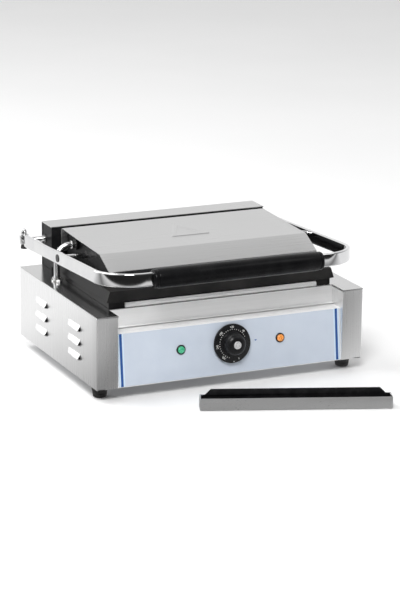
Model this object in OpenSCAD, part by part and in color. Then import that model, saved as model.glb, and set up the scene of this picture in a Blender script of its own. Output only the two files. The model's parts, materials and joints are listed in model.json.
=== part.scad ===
// Single contact grill (panini press).
// Frame: X to the right, Y to the back, Z up, millimetres.
// The origin lies on the table, under the middle of the space that the grill and its tray take.

/* [Base] */
// Width of the base over its side panels
base_w = 410; // [340:5:500]
// Depth of the base, front to back
base_d = 296; // [246:2:360]
// Height of the base body above its feet
base_h = 103.5; // [86:0.5:126]
// Thickness of the stainless sheet
sheet_t = 1.2; // [0.8:0.1:1.6]
// Width of each front pillar
pillar_w = 32; // [26:1:40]
// How far the front band stands back from the pillars
band_recess = 34; // [28:1:36]
// Height of the front band
band_h = 27; // [22:0.5:32]
// How far the drip lip stands out from the band
lip_out = 4; // [2:0.5:6]
// Open height between the drip lip and the control panel
trough_gap = 0.9; // [0.6:0.1:6]
// How far the top of the control panel leans back
panel_lean = 9; // [4:0.5:14]
// Height of a rubber foot
foot_h = 17.5; // [12:0.5:24]
// Radius of a rubber foot at its top
foot_r = 12.5; // [9:0.5:15]

/* [Louvres] */
// Louvres above each other in a column
louvre_rows = 3; // [1:1:3]
// Distance between two rows of louvres
louvre_pitch = 20.6; // [14:0.2:22]
// Length of a louvre
louvre_l = 44; // [30:1:55]
// Radius of a louvre at its open mouth
louvre_r = 4.8; // [3:0.2:6]

/* [Control panel] */
// Distance of each lamp from the middle of the panel
lamp_x = 76.7; // [60:0.5:120]
// Radius of a lamp's lens
lamp_r = 6.8; // [5:0.2:9]
// Radius of the knob's skirt
knob_r = 28; // [22:0.5:29]
// How far the knob stands out from the panel
knob_h = 23; // [20:0.5:30]
// Radius of the thermostat's spindle
spindle_r = 3; // [2.5:0.1:4]

/* [Plates] */
// Gap from each side of the base to the lower plate
plate_side_gap = 37; // [34:1:45]
// Distance from the front of the base to the plates
plate_front = 35; // [35:1:42]
// Distance from the plates to the back of the base
plate_back_gap = 46; // [44:1:56]
// How far the lower plate stands above the deck
lower_rise = 8.6; // [6:0.2:12]
// Depth of the lower plate below the deck
lower_drop = 9; // [6:0.5:14]
// Thickness of the upper plate
upper_t = 16; // [12:0.5:20]
// Gap between the closed plates
plate_gap = 0.4; // [0.3:0.1:1]
// Distance between two ribs of a plate
rib_pitch = 9; // [7:0.5:12]
// Depth of the grooves between the ribs
groove_depth = 3; // [2:0.5:4]
// Radius of a heating element's tube
heater_r = 3.6; // [3:0.2:4.2]

/* [Lid] */
// How far the steel cover stands in from the sides of the upper plate
cover_inset = 10; // [8:1:16]
// How far the steel cover stands out over the black lid housing
cover_overhang = 9; // [5:1:14]
// Height of the cover's crease above the upper plate
crease_rise = 37.4; // [34:0.2:44]
// Height of the cover's front edge above the upper plate
brow_rise = 19.5; // [15:0.5:24]
// Distance from the front of the plates to the cover's front edge
brow_back = 26; // [20:1:34]
// Distance from the front of the plates to the crease
crease_back = 62.6; // [50:1:80]
// Distance from the front of the plates to the back of the cover
cover_d = 208; // [150:1:212]
// Radius of the floating pivot rods
pivot_r = 4; // [3:0.5:5]

/* [Handle] */
// Thickness of the flat bar
bar_t = 6; // [4:0.5:7]
// Height of the flat bar
bar_h = 19; // [16:0.5:24]
// How far each arm stands in from the side of the base
arm_inset = 9.8; // [8:0.2:10.4]
// How far the bar stands out in front of the base
bar_reach = 17.3; // [12:0.5:40]
// Outer radius of the bar's bends
bend_r = 56; // [30:1:70]
// Slope of the closed arms, falling to the back, in degrees
arm_slope = 3; // [0:0.1:4]
// Length of the black grip
grip_l = 258; // [180:2:280]
// Radius of the grip
grip_r = 13.9; // [12:0.1:16]
// Distance from the hinge shaft to the floating pivot
pivot_dist = 115; // [90:1:130]
// Radius of the hinge shaft
shaft_r = 4.5; // [4:0.5:6]

/* [Rear housing] */
// Depth of the rear housing
housing_d = 38; // [34:1:44]
// Height of the rear housing above the deck
housing_h = 65; // [58:1:72]
// Distance from the back of the base to the hinge shaft
hinge_inset = 10; // [9.5:0.5:14]
// Height of the hinge shaft above the deck
hinge_rise = 41; // [36:1:48]

/* [Drip tray] */
// Length of the drip tray
tray_l = 265; // [200:5:330]
// Depth of the drip tray, front to back
tray_d = 20; // [14:0.5:24]
// Height of the tray's front wall
tray_h = 17; // [12:0.5:20]
// How far the tray's back wall stands above its front wall
tray_back_rise = 8; // [4:0.5:12]
// Turn of the tray where it lies in front of the grill, in degrees
tray_turn = -20.5; // [-30:0.5:0]

/* [Hidden] */
$fn = 64;
eps = 0.05;                 // how far a cutting solid runs past the face it cuts
run_gap = 0.05;             // radial clearance of a running fit
clear = 0.5;                // clearance between pieces that pass each other
half_w = base_w / 2;
deck_z = foot_h + base_h;
well_w = base_w - 2 * pillar_w;
band_z = deck_z - band_h;
panel_top_z = band_z - trough_gap;
panel_foot_y = 1;
panel_h = panel_top_z - foot_h;
panel_tilt = atan(panel_lean / panel_h);
panel_len = panel_h / cos(panel_tilt);
overlay_t = 0.4;
ledge_back_y = band_recess + 8;
ledge_z = panel_top_z;
control_up = panel_len / 2 + 6.1;
flange_w = 12;              // width of the flanges folded in under the base

plate_w = base_w - 2 * plate_side_gap;
plate_d = base_d - plate_front - plate_back_gap;
lower_top_z = deck_z + lower_rise;
upper_bot_z = lower_top_z + plate_gap;
upper_top_z = upper_bot_z + upper_t;
plate_margin = 18;          // plain border round the part of a plate below the deck
opening_gap = 2;            // clearance of the lower plate in the deck's opening
skirt_out = 8;              // how far the upper plate's foot flares out past the lower plate

cover_hw = plate_w / 2 + 3 - cover_inset;
housing_hw = cover_hw - cover_overhang;
cover_t = 1.3;
brow_y = plate_front + brow_back;
brow_z = upper_top_z + brow_rise;
crease_y = plate_front + crease_back;
crease_z = upper_top_z + crease_rise;
cover_back_y = plate_front + cover_d;
cover_back_z = crease_z + 4.4;
lid_wall = 2;

rear_hw = plate_w / 2 + 2;
hinge_y = base_d - hinge_inset;
hinge_z = deck_z + hinge_rise;
housing_y = base_d - housing_d;
housing_top_z = deck_z + housing_h;
bush_wall = 2.5;
bar_drop = 5;               // how far the bar's middle lies below the hinge axis
arm_x = half_w - arm_inset; // outer face of an arm
bar_front = hinge_y + bar_reach;  // distance from the hinge to the bar's front face
boss_cut = 4;                // how far a boss stops short of the bar's lower edge
boss_r = 7;                 // radius of the boss round a stop bolt
curl_back = 26;             // distance from the hinge back to the stop bolt
bolt_x = arm_x - bar_t / 2;
bolt_r = 2.5;
back_y = hinge_y + (curl_back + boss_r) * cos(arm_slope) + (bar_h / 2 - bar_drop) * sin(arm_slope);

tray_wall = 0.9;
tray_x = -88;
tray_y = -84.2;
front_y = tray_y + tray_l * sin(tray_turn);
origin_y = (front_y + back_y) / 2;

hose_x = -half_w + 21.5;
hose_y = hinge_y - 83;
hose_r = 4.5;
hose_bend = 20;
hose_top_z = hinge_z + 10;
flange_t = 2;

foot_x = half_w - 16;
foot_front_y = 29;
foot_back_y = base_d - 29;
foot_back_x = half_w - 40;
foot_places = [[-foot_x, foot_front_y], [foot_x, foot_front_y], [-foot_back_x, foot_back_y], [foot_back_x, foot_back_y]];
gland_x = -120;
gland_z = foot_h + 28;

// Everything is drawn from the front of the base, then moved to the origin.
module placed() { translate([0, -origin_y, 0]) children(); }

// Places its children at both sides of the grill, mirrored.
module both_sides() {
    children();
    mirror([1, 0, 0]) children();
}

// A box from low corner to high corner.
module box(low, high) { translate(low) cube(high - low); }

// A cylinder along X from x0 to x1.
module rod_x(x0, x1, r, y = 0, z = 0) {
    translate([x0, y, z]) rotate([0, 90, 0]) cylinder(h = x1 - x0, r = r);
}

// Frame on the control panel: X along it, Z up it, -Y out of it; up is measured from its foot.
module on_panel(x = 0, up = 0) {
    translate([x, panel_foot_y, foot_h]) rotate([-panel_tilt, 0, 0]) translate([0, 0, up]) children();
}

// A turned shape standing out of the panel, from its outer face.
module out_of_panel(x, up) {
    on_panel(x, up) translate([0, -overlay_t, 0]) rotate([90, 0, 0]) children();
}

// Frame of the handle's arms: the hinge axis is at 0, the grip lies towards -Y.
module in_arms() {
    translate([0, hinge_y, hinge_z]) rotate([-arm_slope, 0, 0]) children();
}

// ---- base ----

module louvre_solid(r, l) {
    rotate([-90, 0, 0]) cylinder(h = l, r1 = r, r2 = r * 0.8);
    translate([0, l, 0]) sphere(r = r * 0.8);
}

module louvre_places() {
    mid_z = foot_h + base_h / 2;
    for (column_y = [0.208, 0.635] * base_d)
        for (row = [0 : louvre_rows - 1])
            translate([-half_w, column_y, mid_z + (row - (louvre_rows - 1) / 2) * louvre_pitch]) children();
}

module side_panel() {
    wall_h = base_h - sheet_t;
    louvre_t = 0.9;
    difference() {
        union() {
            box([-half_w, 0, foot_h], [-half_w + sheet_t, base_d, foot_h + wall_h]);
            box([-half_w, 0, foot_h], [-half_w + pillar_w, sheet_t, foot_h + wall_h]);
            box([-half_w + pillar_w - sheet_t, 0, foot_h + sheet_t],
                [-half_w + pillar_w, ledge_back_y + sheet_t, foot_h + wall_h]);
            box([-half_w, 0, foot_h], [-half_w + flange_w, base_d, foot_h + sheet_t]);
            louvre_places() louvre_solid(louvre_r, louvre_l - louvre_r);
        }
        louvre_places() translate([0, -eps, 0]) louvre_solid(louvre_r - louvre_t, louvre_l - louvre_r);
        // the half of each louvre that would stand inside the wall
        louvre_places() box([sheet_t, -1, -louvre_r - 1], [louvre_r + 1, louvre_l + 1, louvre_r + 1]);
    }
}

module left_side_panel() { color("gainsboro") side_panel(); }
module right_side_panel() { color("gainsboro") mirror([1, 0, 0]) side_panel(); }

module top_deck() {
    color("silver") difference() {
        box([-half_w, 0, deck_z - sheet_t], [half_w, base_d, deck_z]);
        box([-well_w / 2, -1, deck_z - 5], [well_w / 2, band_recess, deck_z + 5]);
        box([-plate_w / 2 + plate_margin - opening_gap, plate_front + plate_margin - opening_gap, deck_z - 5],
            [plate_w / 2 - plate_margin + opening_gap,
             plate_front + plate_d - plate_margin + opening_gap, deck_z + 5]);
        translate([hose_x, hose_y, deck_z - 5]) cylinder(h = 10, r = hose_r);
    }
}

module front_band() {
    color("gainsboro") difference() {
        union() {
            box([-well_w / 2, band_recess, band_z], [well_w / 2, band_recess + sheet_t, deck_z - sheet_t]);
            box([-well_w / 2, band_recess - lip_out + sheet_t, band_z],
                [well_w / 2, band_recess + sheet_t, band_z + sheet_t]);
            translate([0, band_recess - lip_out + sheet_t, band_z + sheet_t])
                rod_x(-well_w / 2, well_w / 2, sheet_t);
        }
        box([-well_w, band_recess - lip_out - 3, band_z - 3], [well_w, band_recess + 5, band_z]);
    }
}

module control_panel() {
    lean = panel_lean / panel_h;                      // how far back the face goes for each mm up
    thick = sheet_t / cos(panel_tilt);
    function face_y(z) = panel_foot_y + (z - foot_h) * lean;
    color("silver") difference() {
        across(well_w / 2) polygon([
            [panel_foot_y, foot_h], [panel_foot_y + flange_w, foot_h], [panel_foot_y + flange_w, foot_h + sheet_t],
            [face_y(foot_h + sheet_t) + thick, foot_h + sheet_t],
            [face_y(ledge_z - sheet_t) + thick, ledge_z - sheet_t],
            [ledge_back_y, ledge_z - sheet_t], [ledge_back_y, band_z + 6],
            [ledge_back_y - sheet_t, band_z + 6], [ledge_back_y - sheet_t, ledge_z],
            [face_y(ledge_z), ledge_z]]);
        on_panel(0, control_up) rotate([90, 0, 0]) cylinder(h = 20, r = 5.2, center = true);
        for (x = [-lamp_x, lamp_x])
            on_panel(x, control_up - 1) rotate([90, 0, 0]) cylinder(h = 20, r = 5.5, center = true);
    }
}

module panel_overlay() {
    color("lightsteelblue") difference() {
        on_panel() box([-well_w / 2 + 1, -overlay_t, 1], [well_w / 2 - 1, 0, panel_len - 1]);
        on_panel(0, control_up) rotate([90, 0, 0]) cylinder(h = 20, r = 5.2, center = true);
        for (x = [-lamp_x, lamp_x])
            on_panel(x, control_up - 1) rotate([90, 0, 0]) cylinder(h = 20, r = 5.5, center = true);
    }
}

screw_r = 1.5;
back_screw_x = half_w - 14;
back_screw_z = [foot_h + 14, deck_z - 14];

module back_panel() {
    slots = 7;
    color("silver") difference() {
        box([-half_w + sheet_t, base_d - sheet_t, foot_h + sheet_t],
            [half_w - sheet_t, base_d, deck_z - sheet_t]);
        for (row = [0, 1])
            for (i = [0 : slots - 1])
                box([-20 + i * 20, base_d - 5, foot_h + 30 + row * 26],
                    [-8 + i * 20, base_d + 5, foot_h + 46 + row * 26]);
        translate([gland_x, base_d, gland_z]) rotate([90, 0, 0]) cylinder(h = 20, r = 8, center = true);
        for (x = [-back_screw_x, back_screw_x], z = back_screw_z)
            translate([x, base_d, z]) rotate([90, 0, 0]) cylinder(h = 20, r = screw_r, center = true);
    }
}

module bottom_cover() {
    slots = 8;
    color("silver") difference() {
        box([-half_w + flange_w, panel_foot_y + flange_w, foot_h],
            [half_w - flange_w, base_d - sheet_t, foot_h + sheet_t]);
        for (y = [0.4, 0.62] * base_d)
            for (i = [0 : slots - 1])
                box([-112 + i * 30, y - 18, foot_h - 5], [-104 + i * 30, y + 18, foot_h + 5]);
        for (place = foot_places) translate([place[0], place[1], foot_h - 5]) cylinder(h = 10, r = bolt_r);
    }
}

module at_feet() {
    for (place = foot_places) translate([place[0], place[1], 0]) children();
}

foot_bore_h = 6;

module rubber_feet() {
    color("black") at_feet() difference() {
        union() {
            cylinder(h = foot_h - 3, r1 = foot_r - 3, r2 = foot_r - 0.4);
            translate([0, 0, foot_h - 3]) cylinder(h = 3, r = foot_r);
        }
        translate([0, 0, -1]) cylinder(h = foot_bore_h + 1, r = 5);
        cylinder(h = foot_h + 1, r = bolt_r);
    }
}

module foot_screws() {
    color("gray") at_feet() {
        translate([0, 0, foot_bore_h - 3]) cylinder(h = 3, r = 4.5);
        translate([0, 0, foot_bore_h - 3]) cylinder(h = foot_h - foot_bore_h + 9, r = bolt_r);
    }
}

// A pan-headed screw whose head rests on z = 0 and whose shank points down.
module pan_screw(r, shank) {
    difference() {
        cylinder(h = r, r1 = 2 * r, r2 = 1.3 * r);
        translate([-1.1 * r, -r / 6, r * 0.6]) cube([2.2 * r, r / 3, r]);
        translate([-r / 6, -1.1 * r, r * 0.6]) cube([r / 3, 2.2 * r, r]);
    }
    translate([0, 0, -shank]) cylinder(h = shank + eps, r = r);
}

rear_screw_z = deck_z + 12;

module case_screws() {
    color("silver") {
        for (x = [-back_screw_x, back_screw_x], z = back_screw_z)
            translate([x, base_d, z]) rotate([-90, 0, 0]) pan_screw(screw_r, 6);
        for (x = [-rear_hw + 20, rear_hw - 20])
            translate([x, base_d, rear_screw_z]) rotate([-90, 0, 0]) pan_screw(screw_r, 5);
    }
}

module cable_gland() {
    color("dimgray") translate([gland_x, base_d, gland_z]) rotate([-90, 0, 0]) difference() {
        union() {
            cylinder(h = 5, r = 12, $fn = 6);
            translate([0, 0, 5]) cylinder(h = 9, r1 = 10, r2 = 7.5);
            translate([0, 0, -14]) cylinder(h = 14 + eps, r = 8);
            translate([0, 0, -sheet_t - 5]) cylinder(h = 5, r = 12, $fn = 6);
        }
        translate([0, 0, -20]) cylinder(h = 40, r = 4.2);
    }
}

module terminal_block() {
    ways = 5;
    color("ivory") translate([gland_x + 35, base_d - 70, foot_h + sheet_t]) difference() {
        cube([ways * 11, 22, 18]);
        for (i = [0 : ways - 1]) {
            translate([5.5 + i * 11, 6, 8]) cylinder(h = 12, r = 2.6);
            translate([5.5 + i * 11, 16, 8]) cylinder(h = 12, r = 2.6);
            translate([5.5 + i * 11, -1, 5]) rotate([-90, 0, 0]) cylinder(h = 30, r = 2);
        }
    }
}

module thermostat() {
    body_r = 17;
    color("dimgray") on_panel(0, control_up) rotate([-90, 0, 0]) difference() {
        union() {
            translate([0, 0, sheet_t]) cylinder(h = 24, r = body_r);
            translate([-14, -8, sheet_t + 24 - eps]) cube([28, 16, 8]);
            translate([0, 0, -overlay_t]) cylinder(h = sheet_t + overlay_t + eps, r = 5.2);
        }
        translate([0, 0, -2]) cylinder(h = 20, r = spindle_r + run_gap);
    }
}

module lamp_lens() {
    rotate_extrude() polygon([
        [0, 0], [lamp_r, 0], [lamp_r, 1.4], [lamp_r - 0.9, 2.2], [lamp_r - 1.6, 2.2],
        for (a = [0 : 15 : 90]) [(lamp_r - 1.6) * cos(a), 2.2 + 2.6 * sin(a)]
    ]);
}

module power_lamp() { color("mediumseagreen") out_of_panel(-lamp_x, control_up - 1) lamp_lens(); }
module heat_lamp() { color("orange") out_of_panel(lamp_x, control_up - 1) lamp_lens(); }

module lamp_bodies() {
    color("white") for (x = [-lamp_x, lamp_x]) on_panel(x, control_up - 1) rotate([-90, 0, 0]) {
        translate([0, 0, -overlay_t]) cylinder(h = 26, r = 5.5);
        translate([0, 0, sheet_t]) cylinder(h = 4, r = 8.5);
    }
}

// ---- plates and heaters ----

// Grooves across a plate, running front to back, cut upwards from z = 0.
module grooves(width, depth) {
    count = floor((width / 2 - 14) / rib_pitch);
    groove_w = rib_pitch * 0.55;
    for (i = [-count : count])
        translate([i * rib_pitch, 0, 0])
            rotate([90, 0, 0]) translate([0, 0, -depth]) linear_extrude(depth)
                polygon([[-groove_w / 2, -eps], [groove_w / 2, -eps],
                         [groove_w / 4, groove_depth], [-groove_w / 4, groove_depth]]);
}

rim_out = 3.5;              // how far the lower plate's rim stands out past the ribs
lip_end = 20;               // how far the bright lip stops short of each end of the plate

module lower_plate() {
    rib_y = plate_front + 14;
    color("#222222") difference() {
        union() {
            box([-plate_w / 2 - rim_out, plate_front + 4, deck_z], [plate_w / 2 + rim_out, plate_front + plate_d, lower_top_z]);
            box([-plate_w / 2 + plate_margin, plate_front + plate_margin, deck_z - lower_drop],
                [plate_w / 2 - plate_margin, plate_front + plate_d - plate_margin, deck_z + eps]);
        }
        translate([0, rib_y, lower_top_z]) mirror([0, 0, 1]) grooves(plate_w, plate_d - 28);
        // drain channel along the front, behind the lip
        box([-plate_w / 2 + 12, plate_front + 7, lower_top_z - 4],
            [plate_w / 2 - 12, rib_y + eps, lower_top_z + 1]);
    }
}

module lower_front_lip() {
    lip_z = deck_z + 0.4;
    color("gainsboro") rotate([90, 0, 90])
        translate([0, 0, -plate_w / 2 + lip_end]) linear_extrude(plate_w - 2 * lip_end)
            polygon([[plate_front + 4, lip_z], [plate_front + 4, lip_z + 6.6], [plate_front + 1.6, lip_z + 6.6],
                     [plate_front, lip_z + 3.4], [plate_front, lip_z]]);
}

// A serpentine tube of straight runs along X, joined by half turns.
module serpentine(run, pitch, runs, r) {
    for (i = [0 : runs - 1])
        translate([0, (i - (runs - 1) / 2) * pitch, 0]) rod_x(-run / 2, run / 2, r);
    for (i = [0 : runs - 2])
        translate([(i % 2 == 0 ? 1 : -1) * run / 2, (i - (runs - 2) / 2) * pitch, 0])
            rotate([0, 0, i % 2 == 0 ? -90 : 90])
                rotate_extrude(angle = 180) translate([pitch / 2, 0]) circle(r = r);
}

heater_run = plate_w - 130;
heater_pitch = (plate_d - 90) / 4;
plate_mid_y = plate_front + plate_d / 2;

module lower_heater() {
    color("saddlebrown") translate([0, plate_mid_y, deck_z - lower_drop - heater_r])
        serpentine(heater_run, heater_pitch, 4, heater_r);
}

// A shallow pan that presses a heating element to its plate.
module heat_shield_pan(w, d, h) {
    difference() {
        box([-w / 2, -d / 2, -h], [w / 2, d / 2, 0]);
        box([-w / 2 + 1, -d / 2 + 1, -h + 1], [w / 2 - 1, d / 2 - 1, 1]);
    }
}

module lower_heat_shield() {
    color("silver") translate([0, plate_mid_y, deck_z - lower_drop])
        heat_shield_pan(plate_w - 2 * plate_margin - 10, plate_d - 2 * plate_margin - 10, 2 * heater_r + 1);
}

module upper_plate() {
    hw = plate_w / 2;
    color("#222222") difference() {
        translate([0, plate_front + plate_d, 0]) rotate([90, 0, 0]) linear_extrude(plate_d)
            polygon([[-hw, upper_bot_z], [hw, upper_bot_z], [hw + skirt_out, upper_bot_z + 0.8],
                     [hw + skirt_out - 1, upper_bot_z + 4], [hw + 3, upper_top_z],
                     [-hw - 3, upper_top_z], [-hw - skirt_out + 1, upper_bot_z + 4],
                     [-hw - skirt_out, upper_bot_z + 0.8]]);
        translate([0, plate_front + 14, upper_bot_z]) grooves(plate_w, plate_d - 28);
    }
}

module upper_heater() {
    color("saddlebrown") translate([0, plate_mid_y, upper_top_z + heater_r])
        serpentine(heater_run, heater_pitch, 4, heater_r);
}

module upper_heat_shield() {
    color("silver") translate([0, plate_mid_y, upper_top_z])
        mirror([0, 0, 1]) heat_shield_pan(heater_run + heater_pitch + 24, plate_d - 70, 2 * heater_r + 1);
}

// ---- lid ----

function cover_line(drop) = [
    [brow_y, brow_z - drop], [crease_y, crease_z - drop], [cover_back_y, cover_back_z - drop]
];

// An outline in the Y-Z plane, made solid from -hw to hw across the grill.
module across(hw) {
    rotate([90, 0, 90]) translate([0, 0, -hw]) linear_extrude(2 * hw) children();
}

module lid_cover() {
    line = cover_line(0);
    under = cover_line(cover_t);
    slope = atan((cover_back_z - crease_z) / (cover_back_y - crease_y));
    relief = 0.7;
    color("silver") {
        across(cover_hw) polygon([line[0], line[1], line[2],
            [cover_back_y, upper_top_z + 6], [cover_back_y - cover_t, upper_top_z + 6],
            [cover_back_y - cover_t, under[2][1]], under[1], under[0]]);
        // raised triangle, pressed into the sheet as a stiffening relief
        translate([0, crease_y, crease_z]) rotate([slope, 0, 0]) translate([0, 76, -0.1])
            linear_extrude(relief + 0.1) difference() {
                polygon([[0, 32], [30, -30], [-30, -30]]);
                polygon([[0, 14], [16, -20], [-16, -20]]);
            }
    }
}

pivot_y = hinge_y - pivot_dist * cos(arm_slope) - bar_drop * sin(arm_slope);
pivot_z = hinge_z + pivot_dist * sin(arm_slope) - bar_drop * cos(arm_slope);

module lid_housing() {
    under = cover_line(cover_t);
    foot_y = brow_y - 8;
    back = cover_back_y - cover_t;
    color("#1c1c1c") difference() {
        across(housing_hw) polygon([[foot_y, upper_top_z], under[0], under[1],
            [back, under[2][1]], [back, upper_top_z]]);
        across(housing_hw - lid_wall) polygon([[foot_y + 3, upper_top_z - 1],
            [brow_y + 3, under[0][1] - 1], [crease_y + 1, under[1][1] - lid_wall],
            [back - lid_wall, under[2][1] - lid_wall], [back - lid_wall, upper_top_z - 1]]);
        rod_x(-half_w, half_w, pivot_r + bush_wall, pivot_y, pivot_z);
        rod_x(-half_w, -housing_hw / 2, hose_r + 0.5, hose_y, hose_top_z);
    }
}

module lid_bushes() {
    color("goldenrod") both_sides() translate([0, pivot_y, pivot_z]) difference() {
        rod_x(-housing_hw, -housing_hw + 12, pivot_r + bush_wall);
        rod_x(-half_w, -housing_hw + 13, pivot_r + run_gap);
    }
}

module lid_grommet() {
    color("dimgray") translate([0, hose_y, hose_top_z]) difference() {
        rod_x(-housing_hw - 4.5, -housing_hw, hose_r + 3.5);
        rod_x(-half_w, 0, hose_r + 0.5);
    }
}

// ---- rear housing ----

module rear_housing() {
    wall = 1.5;
    color("#1c1c1c") difference() {
        box([-rear_hw, housing_y, deck_z], [rear_hw, base_d - sheet_t, housing_top_z - sheet_t]);
        box([-rear_hw + wall, housing_y + wall, deck_z - 1], [rear_hw - wall, base_d + 1, housing_top_z + 1]);
        rod_x(-half_w, half_w, shaft_r + bush_wall, hinge_y, hinge_z);
    }
}

module rear_cover() {
    color("silver") difference() {
        union() {
            box([-rear_hw - 1, housing_y - 1, housing_top_z - sheet_t], [rear_hw + 1, base_d, housing_top_z]);
            box([-rear_hw - 1, base_d - sheet_t, deck_z], [rear_hw + 1, base_d, housing_top_z]);
        }
        for (x = [-rear_hw + 20, rear_hw - 20])
            translate([x, base_d, rear_screw_z]) rotate([90, 0, 0])
                cylinder(h = 20, r = screw_r, center = true);
    }
}

module hinge_bushes() {
    color("goldenrod") both_sides() translate([0, hinge_y, hinge_z]) difference() {
        rod_x(-rear_hw - 0.8, -rear_hw + 14, shaft_r + bush_wall);
        rod_x(-half_w, -rear_hw + 15, shaft_r + run_gap);
    }
}

anchor_r = 3;
anchor_y = housing_y + 9;
anchor_z = deck_z + 16;
spring_r = shaft_r + 2.2;
spring_wire = 1.6;
spring_turns = 12;
spring_x = rear_hw - 60;

module spring_anchor() {
    color("gray") rod_x(-rear_hw + 1.5, rear_hw - 1.5, anchor_r, anchor_y, anchor_z);
}

// A torsion spring wound closely round the hinge shaft, with one leg down to the anchor rod.
module counter_springs() {
    pitch = 1.9 * spring_wire;
    hook_z = anchor_z - anchor_r - spring_wire - hinge_z;
    color("dimgray") both_sides() translate([-spring_x, hinge_y, hinge_z]) {
        rotate([0, 90, 0]) rotate_extrude()
            for (i = [0 : spring_turns - 1]) translate([spring_r, i * pitch]) circle(r = spring_wire);
        translate([0, -spring_r, hook_z]) cylinder(h = 1 - hook_z, r = 0.9 * spring_wire);
        translate([0, -spring_r, hook_z]) rotate([90, 0, 0])
            cylinder(h = hinge_y - spring_r - anchor_y, r = spring_wire);
    }
}

module spring_collars() {
    x0 = spring_x - spring_turns * 1.9 * spring_wire - 1;
    color("gray") both_sides() difference() {
        rod_x(-x0, -x0 + 9, shaft_r + 3, hinge_y, hinge_z);
        rod_x(-half_w, half_w, shaft_r, hinge_y, hinge_z);
    }
}

// ---- conduit ----

flange_screw_x = 9.5;

module conduit_flange() {
    color("silver") translate([hose_x, hose_y, deck_z]) rotate([0, 0, 90]) difference() {
        union() {
            cylinder(h = flange_t, r = hose_r + 3.5);
            for (s = [-1, 1]) translate([s * flange_screw_x, 0, 0]) cylinder(h = flange_t, r = 4);
            box([-flange_screw_x, -4, 0], [flange_screw_x, 4, flange_t]);
            cylinder(h = flange_t + 3, r = hose_r + 1.2);
        }
        translate([0, 0, -1]) cylinder(h = 10, r = hose_r);
        for (s = [-1, 1]) translate([s * flange_screw_x, 0, -1]) cylinder(h = 5, r = screw_r);
    }
}

module conduit_screws() {
    color("silver") for (s = [-1, 1])
        translate([hose_x, hose_y + s * flange_screw_x, deck_z + flange_t]) pan_screw(screw_r, flange_t);
}

module conduit_hose() {
    color("lightgray") {
        translate([hose_x, hose_y, deck_z]) cylinder(h = hose_top_z - hose_bend - deck_z, r = hose_r);
        translate([hose_x + hose_bend, hose_y, hose_top_z - hose_bend]) rotate([90, 0, 0])
            rotate([0, 0, 90]) rotate_extrude(angle = 90) translate([hose_bend, 0]) circle(r = hose_r);
        rod_x(hose_x + hose_bend, -housing_hw - 0.5, hose_r, hose_y, hose_top_z);
    }
}

// ---- handle ----

// The bar's outline seen from above, in the arms' frame.
module bar_outline() {
    arm_end = curl_back;
    square_l = arm_end + bar_front - bend_r;
    for (s = [0, 1]) mirror([s, 0]) {
        translate([-arm_x, -bar_front + bend_r]) square([bar_t, square_l]);
        translate([-arm_x + bend_r, -bar_front + bend_r]) intersection() {
            difference() {
                circle(r = bend_r);
                circle(r = bend_r - bar_t);
            }
            translate([-bend_r - 1, -bend_r - 1]) square(bend_r + 1);
        }
        translate([-arm_x + bend_r, -bar_front]) square([arm_x - bend_r + eps, bar_t]);
        translate([-bolt_x, arm_end]) circle(r = boss_r);
    }
}

module handle_bar() {
    color("whitesmoke") in_arms() difference() {
        translate([0, 0, -bar_drop - bar_h / 2]) linear_extrude(bar_h) bar_outline();
        rod_x(-half_w, half_w, pivot_r, -pivot_dist, -bar_drop);
        both_sides() translate([-bolt_x, curl_back, -50]) cylinder(h = 100, r = bolt_r);
        box([-half_w, curl_back - boss_r, bar_bottom - 1], [half_w, curl_back + boss_r + 1, bar_bottom + boss_cut]);
    }
}

module handle_grip() {
    color("#151515") in_arms() difference() {
        translate([0, -bar_front + bar_t / 2, -bar_drop]) {
            rod_x(-grip_l / 2 + 2, grip_l / 2 - 2, grip_r);
            rod_x(-grip_l / 2, grip_l / 2, grip_r - 2);
        }
        translate([0, 0, -bar_drop - bar_h / 2]) linear_extrude(bar_h) bar_outline();
    }
}

module hinge_shaft() {
    color("whitesmoke") rod_x(-arm_x + bar_t, arm_x - bar_t, shaft_r, hinge_y, hinge_z);
}

module pivot_rods() {
    color("whitesmoke") in_arms() both_sides()
        rod_x(-arm_x + 0.8, -housing_hw + 11, pivot_r, -pivot_dist, -bar_drop);
}

module pivot_caps() {
    color("black") in_arms() both_sides() {
        rod_x(-arm_x - 0.8, -arm_x, 5.6, -pivot_dist, -bar_drop);
        rod_x(-arm_x - eps, -arm_x + 0.8, pivot_r, -pivot_dist, -bar_drop);
    }
}

bar_top = -bar_drop + bar_h / 2;
bar_bottom = -bar_drop - bar_h / 2;

// Places its children on the axis of each stop bolt, in the arms' frame.
module at_stop_bolts() {
    in_arms() both_sides() translate([-bolt_x, curl_back, 0]) children();
}

module stop_bolts() {
    color("silver") at_stop_bolts()
        translate([0, 0, bar_bottom + 2]) cylinder(h = bar_h + 2, r = bolt_r);
}

module stop_nuts() {
    color("whitesmoke") at_stop_bolts() translate([0, 0, bar_top]) difference() {
        union() {
            cylinder(h = 4, r = 4.8, $fn = 6);
            translate([0, 0, 4]) intersection() {
                sphere(r = 4);
                cylinder(h = 5, r = 5);
            }
        }
        translate([0, 0, -1]) cylinder(h = 5, r = bolt_r);
    }
}

module stop_bumpers() {
    color("black") at_stop_bolts() translate([0, 0, bar_bottom + boss_cut - 7]) difference() {
        cylinder(h = 7, r1 = 5.5, r2 = 4.5);
        translate([0, 0, 7 - boss_cut + 2]) cylinder(h = 3, r = bolt_r);
    }
}

// ---- knob ----

knob_lift = 2.5;            // gap between the overlay and the knob's skirt

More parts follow.
